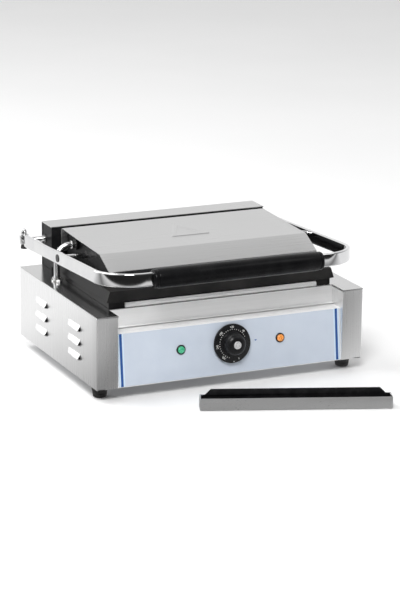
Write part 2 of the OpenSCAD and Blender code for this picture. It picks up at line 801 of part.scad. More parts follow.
module knob() {
    top = knob_h;
    color("#181818") out_of_panel(0, control_up) difference() {
        rotate_extrude() polygon([
            [0, knob_lift], [knob_r, knob_lift], [knob_r, knob_lift + 3], [knob_r - 0.9, knob_lift + 3.9],
            [18.5, knob_lift + 5], [17.4, knob_lift + 8],
            for (a = [0 : 10 : 60]) [7 + 9.8 * cos(a), top - 7.5 + 7.5 * sin(a) / sin(60)],
            [6, top], [6, top - 0.6], [0, top - 0.6]
        ]);
        translate([0, 0, -1]) cylinder(h = 15, r = spindle_r);
        translate([0, 0, knob_lift - 1]) difference() {
            cylinder(h = 3, r = knob_r - 2);
            translate([0, 0, -1]) cylinder(h = 6, r = 8);
        }
    }
}

module knob_cap() {
    color("silver") out_of_panel(0, control_up) translate([0, 0, knob_h - 0.6]) {
        cylinder(h = 1, r = 5.6);
    }
}

module knob_spindle() {
    color("gray") out_of_panel(0, control_up) translate([0, 0, -14]) cylinder(h = 28, r = spindle_r);
}

// ---- drip tray ----

module drip_tray() {
    rise = tray_h + tray_back_rise;
    color("silver") translate([tray_x, tray_y, 0]) rotate([0, 0, tray_turn]) {
        difference() {
            cube([tray_l, tray_d, tray_h]);
            translate([tray_wall, tray_wall, tray_wall])
                cube([tray_l - 2 * tray_wall, tray_d - 2 * tray_wall, tray_h]);
        }
        translate([0, tray_d, 0]) rotate([90, 0, 0]) linear_extrude(tray_wall)
            polygon([[0, 0], [tray_l, 0], [tray_l, tray_h], [tray_l - 8, tray_h], [tray_l - 16, rise],
                     [16, rise], [8, tray_h], [0, tray_h]]);
    }
}

placed() left_side_panel();
placed() right_side_panel();
placed() top_deck();
placed() front_band();
placed() control_panel();
placed() panel_overlay();
placed() back_panel();
placed() bottom_cover();
placed() rubber_feet();
placed() foot_screws();
placed() case_screws();
placed() cable_gland();
placed() terminal_block();
placed() thermostat();
placed() power_lamp();
placed() heat_lamp();
placed() lamp_bodies();
placed() lower_plate();
placed() lower_front_lip();
placed() lower_heater();
placed() lower_heat_shield();
placed() rear_housing();
placed() rear_cover();
placed() hinge_bushes();
placed() spring_anchor();
placed() counter_springs();
placed() conduit_flange();
placed() conduit_screws();
placed() conduit_hose();
placed() handle_bar();
placed() handle_grip();
placed() hinge_shaft();
placed() spring_collars();
placed() pivot_rods();
placed() pivot_caps();
placed() stop_bolts();
placed() stop_nuts();
placed() stop_bumpers();
placed() upper_plate();
placed() upper_heater();
placed() upper_heat_shield();
placed() lid_housing();
placed() lid_cover();
placed() lid_bushes();
placed() lid_grommet();
placed() knob();
placed() knob_cap();
placed() knob_spindle();
placed() drip_tray();
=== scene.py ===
import json
import math

import bmesh
import bpy
from mathutils import Matrix, Vector


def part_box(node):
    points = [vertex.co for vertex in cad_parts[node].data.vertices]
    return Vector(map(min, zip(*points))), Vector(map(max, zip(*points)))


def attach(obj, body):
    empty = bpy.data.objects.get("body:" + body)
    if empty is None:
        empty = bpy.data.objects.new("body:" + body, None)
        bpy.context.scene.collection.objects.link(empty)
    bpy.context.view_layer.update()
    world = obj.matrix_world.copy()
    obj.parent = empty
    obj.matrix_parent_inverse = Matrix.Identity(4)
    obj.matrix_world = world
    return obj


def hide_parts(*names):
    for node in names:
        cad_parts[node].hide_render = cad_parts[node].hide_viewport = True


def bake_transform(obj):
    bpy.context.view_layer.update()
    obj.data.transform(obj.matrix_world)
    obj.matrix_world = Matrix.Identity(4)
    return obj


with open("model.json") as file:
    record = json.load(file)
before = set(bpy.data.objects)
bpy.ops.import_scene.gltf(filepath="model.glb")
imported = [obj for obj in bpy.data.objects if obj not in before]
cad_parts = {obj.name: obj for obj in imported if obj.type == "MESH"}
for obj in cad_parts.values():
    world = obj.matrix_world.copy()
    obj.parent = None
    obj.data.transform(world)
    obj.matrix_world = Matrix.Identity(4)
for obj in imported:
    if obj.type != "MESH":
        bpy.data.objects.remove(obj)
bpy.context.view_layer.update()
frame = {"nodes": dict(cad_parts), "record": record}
record = frame["record"]
nodes = frame["nodes"]
joints = {j["name"]: j for j in record["behaviour"]["joints"]}
mm = 0.001

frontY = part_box("left_side_panel")[0][1]     # front of the base
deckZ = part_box("top_deck")[1][2]
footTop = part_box("rubber_feet")[1][2]
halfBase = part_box("top_deck")[1][0]
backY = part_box("top_deck")[1][1]


def at(x, y, z):
    return Vector((x * mm, frontY + y * mm, z * mm))


# Camera and light.

cameraSet = {"az": -24.77, "el": 15.85, "roll": 0.65, "distance": 3.630, "target": (18.2, 150.0, 84.0), "lens": 150.0}


def makeCamera():
    a, e, r = (math.radians(cameraSet[k]) for k in ("az", "el", "roll"))
    back = Vector((math.sin(a) * math.cos(e), -math.cos(a) * math.cos(e), math.sin(e)))
    side = (-back).cross(Vector((0, 0, 1))).normalized()
    up = side.cross(-back).normalized()
    right = side * math.cos(r) + up * math.sin(r)
    top = up * math.cos(r) - side * math.sin(r)
    turn = Matrix((right, top, back)).transposed().to_4x4()
    bpy.ops.object.camera_add()
    cam = bpy.context.object
    cam.name = "studioCamera"
    cam.matrix_world = Matrix.Translation(at(*cameraSet["target"]) + back * cameraSet["distance"]) @ turn
    cam.data.lens = cameraSet["lens"]
    cam.data.sensor_width = 36
    cam.data.clip_end = 60
    bpy.context.scene.camera = cam
    print("camera set at", [round(c, 3) for c in cam.matrix_world.translation])


lightSet = {
    "key": {"where": (-1.3, -2.2, 2.7), "size": 1.4, "power": 82},
    "left": {"where": (-2.2, 2.2, 1.1), "size": 1.6, "power": 24},
    "top": {"where": (-1.6, 1.2, 2.7), "size": 2.0, "power": 38},
    "right": {"where": (1.7, -1.4, 2.4), "size": 1.2, "power": 6},
}
airSet = {
    "front": 0.05, "back": 0.95,
    # Stops below: a painted reflection, the dark-to-light floor ramp that only glossy rays see.
    "paintedReflection": ((0.0, 0.02), (0.12, 0.04), (0.25, 0.80), (0.38, 0.66), (0.58, 0.22), (0.95, 1.0)),
}


def makeLights():
    for name, one in lightSet.items():
        place = Vector(one["where"])
        bpy.ops.object.light_add(type="AREA", location=place)
        lamp = bpy.context.object
        lamp.name = name + "Softbox"
        lamp.data.shape = "DISK"
        lamp.data.size = one["size"]
        lamp.data.energy = one["power"]
        lamp.rotation_euler = (place - Vector((0, 0, 0.1))).to_track_quat("Z", "Y").to_euler()
    bpy.context.scene.view_settings.view_transform = "Standard"    # blacks stay black beside the bright sheet
    world = bpy.data.worlds.new("studioAir")
    world.use_nodes = True
    tree = world.node_tree
    coords = tree.nodes.new("ShaderNodeTexCoord")
    split = tree.nodes.new("ShaderNodeSeparateXYZ")
    ramp = tree.nodes.new("ShaderNodeMapRange")    # dim room in front of the table, bright wall behind
    ramp.inputs["From Min"].default_value, ramp.inputs["From Max"].default_value = -0.75, 0.55
    ramp.inputs["To Min"].default_value, ramp.inputs["To Max"].default_value = airSet["front"], airSet["back"]
    tree.links.new(coords.outputs["Generated"], split.inputs[0])
    tree.links.new(split.outputs["Y"], ramp.inputs["Value"])
    tree.links.new(ramp.outputs["Result"], tree.nodes["Background"].inputs["Strength"])
    tree.nodes["Background"].inputs["Color"].default_value = (1, 1, 1, 1)
    bpy.context.scene.world = world
    print("lights set:", len(lightSet))


# Arithmetic on shader values.

class Value:
    # One number, colour or vector in a material's tree; sums on it add Math nodes.
    def __init__(self, tree, link):
        self.tree, self.link = tree, link

    def sum(self, how, other, flip=False):
        pair = (other, self) if flip else (self, other)
        return self.tree.add("Math", {"operation": how}, dict(enumerate(pair)))

    def __add__(self, other): return self.sum("ADD", other)
    def __radd__(self, other): return self.sum("ADD", other, True)
    def __sub__(self, other): return self.sum("SUBTRACT", other)
    def __rsub__(self, other): return self.sum("SUBTRACT", other, True)
    def __mul__(self, other): return self.sum("MULTIPLY", other)
    def __rmul__(self, other): return self.sum("MULTIPLY", other, True)
    def __truediv__(self, other): return self.sum("DIVIDE", other)
    def __gt__(self, other): return self.sum("GREATER_THAN", other)
    def __lt__(self, other): return self.sum("LESS_THAN", other)
    def __pow__(self, other): return self.sum("POWER", other)


class Finish:
    # A new material with its Principled shader, built up node by node.
    def __init__(self, name, **sockets):
        self.made = bpy.data.materials.new(name)
        self.made.use_nodes = True
        self.nodes = self.made.node_tree.nodes
        self.links = self.made.node_tree.links
        self.shader = self.nodes["Principled BSDF"]
        for key, value in sockets.items():
            self.shader.inputs[key.replace("_", " ")].default_value = value

    def add(self, kind, settings=None, inputs=None, out=0):
        n = self.nodes.new("ShaderNode" + kind)
        for key, value in (settings or {}).items():
            if key == "stops":
                for i, (place, colour) in enumerate(value):
                    stop = n.color_ramp.elements[i] if i < 2 else n.color_ramp.elements.new(place)
                    stop.position, stop.color = place, colour
            else:
                setattr(n, key, value)
        for key, value in (inputs or {}).items():
            if isinstance(value, Value):
                self.links.new(value.link, n.inputs[key])
            else:
                n.inputs[key].default_value = value
        return Value(self, n.outputs[out])

    def put(self, socket, value):
        self.links.new(value.link, self.shader.inputs[socket])
        return self

    def coords(self, scale=(1, 1, 1), turn=(0, 0, 0)):
        place = self.add("TexCoord", out=3)
        return self.add("Mapping", {}, {"Vector": place, "Scale": scale, "Rotation": turn})

    def noise(self, scale, stretch=(1, 1, 1), detail=3.0, rough=0.5):
        return self.add("TexNoise", {}, {"Vector": self.coords(stretch), "Scale": scale, "Detail": detail,
                                         "Roughness": rough})

    def spread(self, value, low, high, fromLow=0.3, fromHigh=0.7):
        return self.add("MapRange", {}, {"Value": value, "From Min": fromLow, "From Max": fromHigh,
                                         "To Min": low, "To Max": high})

    def mix(self, factor, one, two):
        return self.add("Mix", {"data_type": "RGBA"}, {0: factor, 6: one, 7: two}, out=2)

    def bump(self, height, depth, strength=1.0):
        return self.put("Normal", self.add("Bump", {}, {"Height": height, "Distance": depth, "Strength": strength}))


def grey(v, tint=(1, 1, 1)):
    return (v * tint[0], v * tint[1], v * tint[2], 1)


# Finishes, one for each kind of surface.

def brushedSheet(name, tone, rough, along, grain=1.0, metal=1.0):
    # Stainless sheet: long scratches along one axis, faint cloudy handling marks.
    f = Finish(name, Metallic=metal)
    stretch = {"x": (1.2, 260, 260), "y": (260, 1.2, 260), "z": (260, 260, 1.2)}[along]
    scratches = f.noise(4.0, stretch, 4.0, 0.7)
    clouds = f.noise(9.0, (1, 1, 1), 2.0)
    shade = f.mix(f.spread(scratches, 0, 1), grey(tone * (1 - 0.06 * grain)), grey(min(1, tone * (1 + 0.04 * grain))))
    f.put("Base Color", shade)
    f.put("Roughness", f.spread(scratches, rough - 0.07 * grain, rough + 0.07 * grain) + f.spread(clouds, -0.02, 0.03))
    f.bump(scratches, 0.00004 * grain, 0.6)
    return f.made


def chromePlate(name="chromePlate"):
    f = Finish(name, Metallic=1.0)
    haze = f.noise(30.0, (1, 1, 1), 3.0)
    f.put("Base Color", f.mix(f.spread(haze, 0, 1), (0.72, 0.72, 0.73, 1), (0.80, 0.80, 0.80, 1)))
    f.put("Roughness", f.spread(haze, 0.05, 0.10))
    f.bump(f.noise(160.0, (1, 1, 1), 2.0), 0.00002, 0.4)
    return f.made


def castEnamel(name="castEnamel"):
    # Sand-cast iron under a thin black coat: pitted skin, a little lighter in random patches.
    f = Finish(name, Metallic=0.0, Specular_IOR_Level=0.12)
    pits = f.noise(900.0, (1, 1, 1), 4.0, 0.65)
    patches = f.noise(24.0, (1, 1, 1), 3.0)
    f.put("Base Color", f.mix(f.spread(patches, 0, 1), (0.010, 0.010, 0.011, 1), (0.030, 0.029, 0.028, 1)))
    f.put("Roughness", f.spread(patches, 0.36, 0.50))
    f.bump(pits, 0.00025, 0.5)
    return f.made


def blackEnamel(name="blackEnamel"):
    f = Finish(name, Coat_Weight=0.02, Coat_Roughness=0.1, Specular_IOR_Level=0.08)
    peel = f.noise(420.0, (1, 1, 1), 2.0)
    dust = f.noise(60.0, (1, 1, 1), 5.0, 0.7)
    f.put("Base Color", f.mix(f.spread(dust, 0, 1, 0.45, 0.75), (0.012, 0.012, 0.013, 1), (0.026, 0.026, 0.027, 1)))
    f.put("Roughness", f.spread(dust, 0.34, 0.46))
    f.bump(peel, 0.00012, 0.35)
    return f.made


def mouldedPlastic(name, colour, rough, grain=700.0, depth=0.00006, shine=0.5):
    f = Finish(name, Specular_IOR_Level=shine)
    skin = f.noise(grain, (1, 1, 1), 3.0)
    blotch = f.noise(40.0, (1, 1, 1), 2.0)
    lighter = tuple(min(1, c * 1.25 + 0.004) for c in colour) + (1,)
    f.put("Base Color", f.mix(f.spread(blotch, 0, 1), tuple(colour) + (1,), lighter))
    f.put("Roughness", f.spread(skin, rough - 0.05, rough + 0.06))
    f.bump(skin, depth, 0.5)
    return f.made


def rubberSkin(name="rubberSkin"):
    f = Finish(name)
    dust = f.noise(80.0, (1, 1, 1), 5.0, 0.7)
    f.put("Base Color", f.mix(f.spread(dust, 0, 1, 0.4, 0.8), (0.008, 0.008, 0.008, 1), (0.035, 0.034, 0.033, 1)))
    f.put("Roughness", f.spread(dust, 0.55, 0.8))
    f.bump(f.noise(1500.0, (1, 1, 1), 2.0), 0.00008, 0.5)
    return f.made


def panelFilm(name="panelFilm"):
    # Printed film: pale blue-grey, a blue stripe near each end, a small blue mark beside the knob.
    s = {"stripeAt": 166.6, "stripeHalf": 1.9, "paleHalf": 4.2}
    f = Finish(name, Coat_Weight=0.25, Coat_Roughness=0.12)
    sides = f.add("SeparateXYZ", {}, {0: f.add("TexCoord", out=3)})
    x = f.add("Math", {"operation": "ABSOLUTE"}, {0: sides}) * 1000.0
    away = f.add("Math", {"operation": "ABSOLUTE"}, {0: x - s["stripeAt"]})
    stripe, pale = away < s["stripeHalf"], away < s["paleHalf"]
    mottle = f.noise(35.0, (1, 1, 1), 3.0)
    ground = f.mix(f.spread(mottle, 0, 1), (0.60, 0.665, 0.765, 1), (0.635, 0.70, 0.795, 1))
    ground = f.mix(pale, ground, (0.66, 0.80, 0.93, 1))
    f.put("Base Color", f.mix(stripe, ground, (0.012, 0.085, 0.33, 1)))
    f.put("Roughness", f.spread(mottle, 0.36, 0.46))
    f.bump(f.noise(1100.0, (1, 1, 1), 2.0), 0.00003, 0.4)
    return f.made


def lampLens(name, colour, glow):
    # Moulded clear lens over a small glowing lamp, ribbed.
    f = Finish(name, Coat_Weight=0.6, Coat_Roughness=0.05, Emission_Strength=0.38)
    ribs = f.noise(500.0, (1, 1, 1), 1.0)
    f.put("Base Color", f.mix(f.spread(ribs, 0, 1), tuple(c * 0.7 for c in colour) + (1,), tuple(colour) + (1,)))
    dim, bright = tuple(c * 0.3 for c in glow) + (1,), tuple(0.25 + 0.75 * c for c in glow) + (1,)
    f.put("Emission Color", f.mix(f.spread(ribs, 0, 1), dim, bright))
    f.put("Roughness", f.spread(ribs, 0.12, 0.24))
    f.bump(ribs, 0.0002, 0.5)
    return f.made


def plainMetal(name, colour, rough, metallic=1.0):
    f = Finish(name, Metallic=metallic)
    marks = f.noise(140.0, (1, 1, 1), 4.0, 0.6)
    f.put("Base Color", f.mix(f.spread(marks, 0, 1), tuple(c * 0.82 for c in colour) + (1,), tuple(colour) + (1,)))
    f.put("Roughness", f.spread(marks, rough - 0.06, rough + 0.08))
    f.bump(marks, 0.00005, 0.4)
    return f.made


def spangledZinc(name="spangledZinc"):
    f = Finish(name, Metallic=1.0)
    cells = f.add("TexVoronoi", {}, {"Vector": f.coords(), "Scale": 120.0}, out=1)
    one = f.add("SeparateXYZ", {}, {0: cells})
    f.put("Base Color", f.mix(one, (0.42, 0.43, 0.45, 1), (0.60, 0.61, 0.63, 1)))
    f.put("Roughness", f.spread(one, 0.32, 0.5, 0, 1))
    return f.made


finishes = {
    "brushed_side": brushedSheet("sideSteel", 0.90, 0.30, "z"),
    "polished_deck": brushedSheet("deckSteel", 0.60, 0.19, "y", 0.4),
    "brushed_band": brushedSheet("bandSteel", 0.94, 0.36, "x", 0.6, 0.12),
    "brushed_cover": brushedSheet("coverSteel", 0.60, 0.33, "x"),
    "brushed_tray": brushedSheet("traySteel", 0.66, 0.34, "x", 1.0, 0.8),
    "panel_film": panelFilm(),
    "galvanised": spangledZinc(),
    "black_rubber": rubberSkin(),
    "zinc_screw": plainMetal("zincPlate", (0.72, 0.72, 0.71), 0.24),
    "black_nylon": mouldedPlastic("blackNylon", (0.012, 0.012, 0.013), 0.42),
    "white_nylon": mouldedPlastic("whiteNylon", (0.72, 0.71, 0.67), 0.45),
    "white_ceramic": mouldedPlastic("whiteCeramic", (0.70, 0.67, 0.60), 0.62, 300.0, 0.0001),
    "green_lens": lampLens("greenLens", (0.01, 0.36, 0.17), (0.03, 0.60, 0.28)),
    "amber_lens": lampLens("amberLens", (0.88, 0.26, 0.01), (1.0, 0.38, 0.03)),
    "cast_black": castEnamel(),
    "lip_metal": brushedSheet("lipSteel", 0.94, 0.30, "x", 0.6, 0.3),
    "heater_sheath": plainMetal("heaterSheath", (0.22, 0.15, 0.11), 0.5, 0.7),
    "black_enamel": blackEnamel(),
    "spring_steel": plainMetal("springSteel", (0.20, 0.20, 0.21), 0.35),
    "hose_metal": chromePlate("hoseMetal"),
    "chrome_bar": chromePlate(),
    "grip_black": mouldedPlastic("gripBlack", (0.004, 0.004, 0.0045), 0.26, 1200.0, 0.00003, 0.12),
    "dark_metal": plainMetal("darkMetal", (0.05, 0.05, 0.05), 0.4),
    "knob_black": mouldedPlastic("knobBlack", (0.006, 0.006, 0.007), 0.30, 900.0, 0.00003, 0.3),
    "cap_metal": plainMetal("capMetal", (0.86, 0.86, 0.87), 0.30, 0.35),
}
slotOf = {s["node"]: s["material_slot"] for s in record["subparts"]}
print("finishes made:", len(finishes))

# Tools used by every piece.

def rest():
    if bpy.context.object and bpy.context.object.mode == "EDIT":
        bpy.ops.object.mode_set(mode="OBJECT")
    bpy.ops.object.select_all(action="DESELECT")


def edit(obj, kind="FACE", everything=True):
    rest()
    bpy.context.view_layer.objects.active = obj
    obj.select_set(True)
    bpy.ops.object.mode_set(mode="EDIT")
    bpy.ops.mesh.select_mode(type=kind)
    bpy.ops.mesh.select_all(action="SELECT" if everything else "DESELECT")


def middle(part):
    return sum((v.co for v in part.verts), Vector()) / len(part.verts) if hasattr(part, "verts") else part.co


def pick(kind, test):
    # In edit mode, selects only the faces or edges that pass the test.
    bpy.ops.mesh.select_mode(type=kind)
    bpy.ops.mesh.select_all(action="DESELECT")
    shape = bmesh.from_edit_mesh(bpy.context.object.data)
    for part in {"VERT": shape.verts, "EDGE": shape.edges, "FACE": shape.faces}[kind]:
        if test(part):
            part.select_set(True)
    shape.select_flush_mode()
    bmesh.update_edit_mesh(bpy.context.object.data)


def modify(obj, kind, **settings):
    rest()
    bpy.context.view_layer.objects.active = obj
    obj.select_set(True)
    tool = obj.modifiers.new(kind.lower(), kind)
    for key, value in settings.items():
        setattr(tool, key, value)
    bpy.ops.object.modifier_apply(modifier=tool.name)


def put(obj, place=None):
    # Sets a piece at its place and makes that place part of its mesh.
    rest()
    bpy.context.view_layer.objects.active = obj
    obj.select_set(True)
    if place is not None:
        obj.matrix_world = place @ obj.matrix_world
    bpy.ops.object.transform_apply(location=True, rotation=True, scale=True)
    return obj


def join(pieces):
    rest()
    for p in pieces:
        p.select_set(True)
    bpy.context.view_layer.objects.active = pieces[0]
    bpy.ops.object.join()
    return bpy.context.object


def copyOf(obj, place):
    rest()
    obj.select_set(True)
    bpy.context.view_layer.objects.active = obj
    bpy.ops.object.duplicate()
    twin = bpy.context.object
    put(twin, place)
    if place.to_3x3().determinant() < 0:
        edit(twin)
        bpy.ops.mesh.normals_make_consistent(inside=False)
        rest()
    return twin


def finished(obj, name, body, slotName, stands=(), angle=35.0):
    obj.name = name
    obj.data.name = name
    rest()
    bpy.context.view_layer.objects.active = obj
    obj.select_set(True)
    if angle:
        bpy.ops.object.shade_smooth_by_angle(angle=math.radians(angle))
    if not obj.data.materials:
        obj.data.materials.append(finishes[slotName])
    if body:
        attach(obj, body)
    if stands:
        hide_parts(*stands)
    rest()
    return obj


def turned(rings, steps=64):
    # A turned shape about Z, drawn ring by ring: each ring is (radius, height) in mm.
    rest()
    r, z = rings[0]
    bpy.ops.mesh.primitive_circle_add(vertices=steps, radius=r * mm, fill_type="NGON", location=(0, 0, z * mm))
    obj = bpy.context.object
    edit(obj)
    for nextR, nextZ in rings[1:]:
        bpy.ops.mesh.extrude_region_move(TRANSFORM_OT_translate={"value": (0, 0, (nextZ - z) * mm)})
        k = nextR / r
        bpy.ops.transform.resize(value=(k, k, 1), center_override=(0, 0, nextZ * mm))
        r, z = nextR, nextZ
    bpy.ops.mesh.select_all(action="SELECT")
    bpy.ops.mesh.normals_make_consistent(inside=False)
    return put(obj)


def box(low, high, round=0.0, segments=2):
    rest()
    low, high = Vector(low) * mm, Vector(high) * mm
    bpy.ops.mesh.primitive_cube_add(size=1, location=(low + high) / 2, scale=high - low)
    obj = put(bpy.context.object)
    if round:
        edit(obj)
        bpy.ops.mesh.bevel(offset=round * mm, segments=segments, affect="EDGES")
        rest()
    return obj


def gridSheet(us, vs):
    # A flat net with its lines at us and vs, in mm, to be pressed into shape.
    rest()
    bpy.ops.mesh.primitive_grid_add(x_subdivisions=len(us) - 1, y_subdivisions=len(vs) - 1, size=2)
    obj = bpy.context.object
    nx = len({round(v.co.x, 5) for v in obj.data.vertices})
    ny = len({round(v.co.y, 5) for v in obj.data.vertices})
    for v in obj.data.vertices:
        i = round((v.co.x + 1) / 2 * (nx - 1))
        j = round((v.co.y + 1) / 2 * (ny - 1))
        v.co = (us[min(i, len(us) - 1)], vs[min(j, len(vs) - 1)], 0)
    return obj


def lines(low, high, dense, fine, coarse):
    # Grid lines from low to high, close together inside the dense spans.
    marks = [low]
    while marks[-1] < high - 1e-6:
        here = marks[-1]
        inside = any(a - 1e-6 <= here < b - 1e-6 for a, b in dense)
        ends = [x for span in dense for x in span if x > here + 1e-6] + [high]
        marks.append(min(here + (fine if inside else coarse), min(ends)))
    return marks


def rounded(points, radius, steps=5):
    # The same outline with its inner corners rounded.
    out = [Vector(points[0])]
    for before, corner, after in zip(points, points[1:], points[2:]):
        b, c, a = Vector(before), Vector(corner), Vector(after)
        into, outOf = (b - c).normalized(), (a - c).normalized()
        half = into.angle(outOf) / 2
        reach = min(radius / math.tan(half), (b - c).length * 0.45, (a - c).length * 0.45)
        first, last = c + into * reach, c + outOf * reach
        for i in range(steps + 1):
            t = i / steps
            out.append(first.lerp(c, t).lerp(c.lerp(last, t), t))
    out.append(Vector(points[-1]))
    return out


def smooth(t):
    t = max(0.0, min(1.0, t))
    return t * t * (3 - 2 * t)


# Side panels: one pressed sheet each, folded round the front pillar.

sideSet = {
    "sheet": 1.2, "pillar": 32.0, "inner": 43.0, "foot": 12.0, "fold": 1.5,
    "columns": (61.6, 188.0), "rows": (48.65, 69.25, 89.85), "long": 44.0, "half": 4.7, "out": 4.4,
}


def louvreHeight(y, z):
    s = sideSet
    for mouth in s["columns"]:
        u = (y - mouth) / s["long"]
        if not 0 <= u <= 1:
            continue
        for row in s["rows"]:
            half = s["half"] * (1.05 - 0.2 * u)
            t = (z - row + half) / (2 * half)    # 0 at the hood's lower edge, 1 where it runs out
            if 0 < t < 1:
                across = min(1.0, t / 0.12) * smooth((1 - t) * 1.05) ** 0.8
                along = math.sqrt(max(0.0, 1 - max(0.0, (u - 0.7) / 0.3) ** 2))
                return s["out"] * (1 - 0.15 * u) * across * along
    return 0.0


def makeSidePanels():
    s = sideSet
    low, high = footTop / mm, (deckZ / mm) - s["sheet"]
    spans = [(m + 0.04, m + s["long"]) for m in s["columns"]]
    ys = lines(0, backY / mm - frontY / mm, spans, 1.5, 24.0)
    ys = sorted(set(ys) | set(s["columns"]))
    zs = lines(low, high, [(r - 5.4, r + 5.4) for r in s["rows"]], 0.5, 6.0)
    sheet = gridSheet(ys, zs)
    for v in sheet.data.vertices:
        y, z = v.co.x, v.co.y
        out = louvreHeight(y, z) if not any(abs(y - m) < 0.02 for m in s["columns"]) else 0.0
        v.co = at(-halfBase / mm - out, y, z)
    mouths = [at(0, m, 0).y for m in s["columns"]]
    edit(sheet, everything=False)
    pick("FACE", lambda f: any(abs(middle(f).y - m) < 0.06 * mm for m in mouths)
         and min(v.co.x for v in f.verts) < -halfBase - 0.45 * mm)
    bpy.ops.mesh.delete(type="FACE")
    pick("EDGE", lambda e: e.is_boundary and all(abs(v.co.y - frontY) < 1e-6 for v in e.verts))
    bpy.ops.mesh.extrude_edges_move(TRANSFORM_OT_translate={"value": (s["pillar"] * mm, 0, 0)})
    bpy.ops.mesh.extrude_edges_move(TRANSFORM_OT_translate={"value": (0, s["inner"] * mm, 0)})
    pick("VERT", lambda v: v.co.x > -halfBase + 0.001 and v.co.z > high * mm - 0.0001)
    bpy.ops.transform.translate(value=(0, 0, -0.7 * mm))    # a dark seam between the pillar and the deck
    pick("EDGE", lambda e: all(abs(v.co.z - footTop) < 1e-6 and abs(v.co.x + halfBase) < 1e-6 for v in e.verts))
    bpy.ops.mesh.extrude_edges_move(TRANSFORM_OT_translate={"value": (s["foot"] * mm, 0, 0)})
    corners = (-halfBase, -halfBase + s["pillar"] * mm)
    pick("EDGE", lambda e: all(abs(v.co.y - frontY) < 1e-6 for v in e.verts)
         and abs(e.verts[0].co.x - e.verts[1].co.x) < 1e-6 and min(abs(e.verts[0].co.x - c) for c in corners) < 1e-6)
    bpy.ops.mesh.bevel(offset=s["fold"] * mm, segments=4, affect="EDGES")
    bpy.ops.mesh.select_all(action="SELECT")
    bpy.ops.mesh.normals_make_consistent(inside=False)
    rest()
    face = max(sheet.data.polygons, key=lambda p: p.area)
    if face.normal.x > 0:
        edit(sheet)
        bpy.ops.mesh.flip_normals()
        rest()
    modify(sheet, "SOLIDIFY", thickness=s["sheet"] * 0.8 * mm, offset=-1, use_even_offset=False)
    twin = copyOf(sheet, Matrix.Scale(-1, 4, (1, 0, 0)))
    finished(sheet, "leftSidePanel", "base", "brushed_side", ["left_side_panel"], 28)
    finished(twin, "rightSidePanel", "base", "brushed_side", ["right_side_panel"], 28)
    print("side panels pressed:", len(sheet.data.polygons), "faces each")


# Lid cover: bent sheet with a raised triangle.

coverSet = {"half": 161.0, "sheet": 1.2, "bend": 5.0, "rise": 1.0,
            "outer": ((0, 32), (30, -30), (-30, -30)), "band": 5.0, "soft": 1.6}


def triangleDepth(x, y, corners):
    # How far inside the triangle's edges a point lies; negative outside.
    least = 1e9
    for (ax, ay), (bx, by) in zip(corners, corners[1:] + corners[:1]):
        long = math.hypot(bx - ax, by - ay)
        least = min(least, -((bx - ax) * (y - ay) - (by - ay) * (x - ax)) / long)
    return least


def makeLidCover():
    s = coverSet
    low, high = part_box("lid_cover")
    top = (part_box("upper_plate")[1][2]) / mm
    brow, brow2 = (61.0, top + 19.5), (97.6, top + 37.4)
    rear = (high[1] - frontY) / mm
    outline = [(brow[0] + 3.4, brow[1] - 3.0), brow, brow2, (rear, top + 41.7), (rear, top + 7)]
    path = rounded(outline, s["bend"], 5)
    slope = math.atan2(4.3, rear - brow2[0])
    middleY = brow2[0] + 76 * math.cos(slope)
    flat = [p for p in path if 104 < p.x < rear - 8]
    more = [path[0]]
    for a, b in zip(path, path[1:]):
        if (b - a).length > 60:
            cuts = [a.x + (b.x - a.x) * i / 110 for i in range(1, 110)]
            more += [a.lerp(b, (y - a.x) / (b.x - a.x)) for y in cuts]
        more.append(b)
    xs = sorted({-x for x in lines(0, s["half"], [(0, 36)], 1.0, 25.0)} | set(lines(0, s["half"], [(0, 36)], 1.0, 25.0)))
    sheet = gridSheet(xs, list(range(len(more))))
    corners = list(s["outer"])
    for v in sheet.data.vertices:
        p = more[round(v.co.y)]
        depth = triangleDepth(v.co.x, (p.x - middleY) / math.cos(slope), corners)
        ridge = smooth(depth / s["soft"] + 0.5) * smooth((s["band"] * 1.2 - depth) / s["soft"] + 0.5)
        lift = s["rise"] * ridge if 100 < p.x < rear - 4 else 0
        v.co = at(v.co.x, p.x - lift * math.sin(slope), p.y + lift * math.cos(slope))
    edit(sheet)
    bpy.ops.mesh.normals_make_consistent(inside=False)
    rest()
    if max(sheet.data.polygons, key=lambda f: f.area).normal.z < 0:
        edit(sheet)
        bpy.ops.mesh.flip_normals()
        rest()
    modify(sheet, "SOLIDIFY", thickness=s["sheet"] * mm, offset=-1, use_even_offset=False)
    modify(sheet, "BEVEL", width=0.25 * mm, segments=2, limit_method="ANGLE", angle_limit=math.radians(60))
    finished(sheet, "lidCover", "lid", "brushed_cover", ["lid_cover"], 30)
    print("lid cover bent:", len(sheet.data.polygons), "faces")


# Handle: bar, grip, stop nuts and bumpers.

handleSet = {"thick": 6.0, "high": 19.0, "edge": 2.1, "armAt": 195.2, "reach": 17.3, "bend": 56.0, "slope": 3.0,
             "drop": 5.0, "back": 26.0, "boss": 7.0, "cut": 4.0, "gripHalf": 129.0, "gripR": 13.85}


def armFrame():
    hinge = Vector(joints["handle_hinge"]["pos_m"])
    return Matrix.Translation(hinge) @ Matrix.Rotation(math.radians(-handleSet["slope"]), 4, "X")


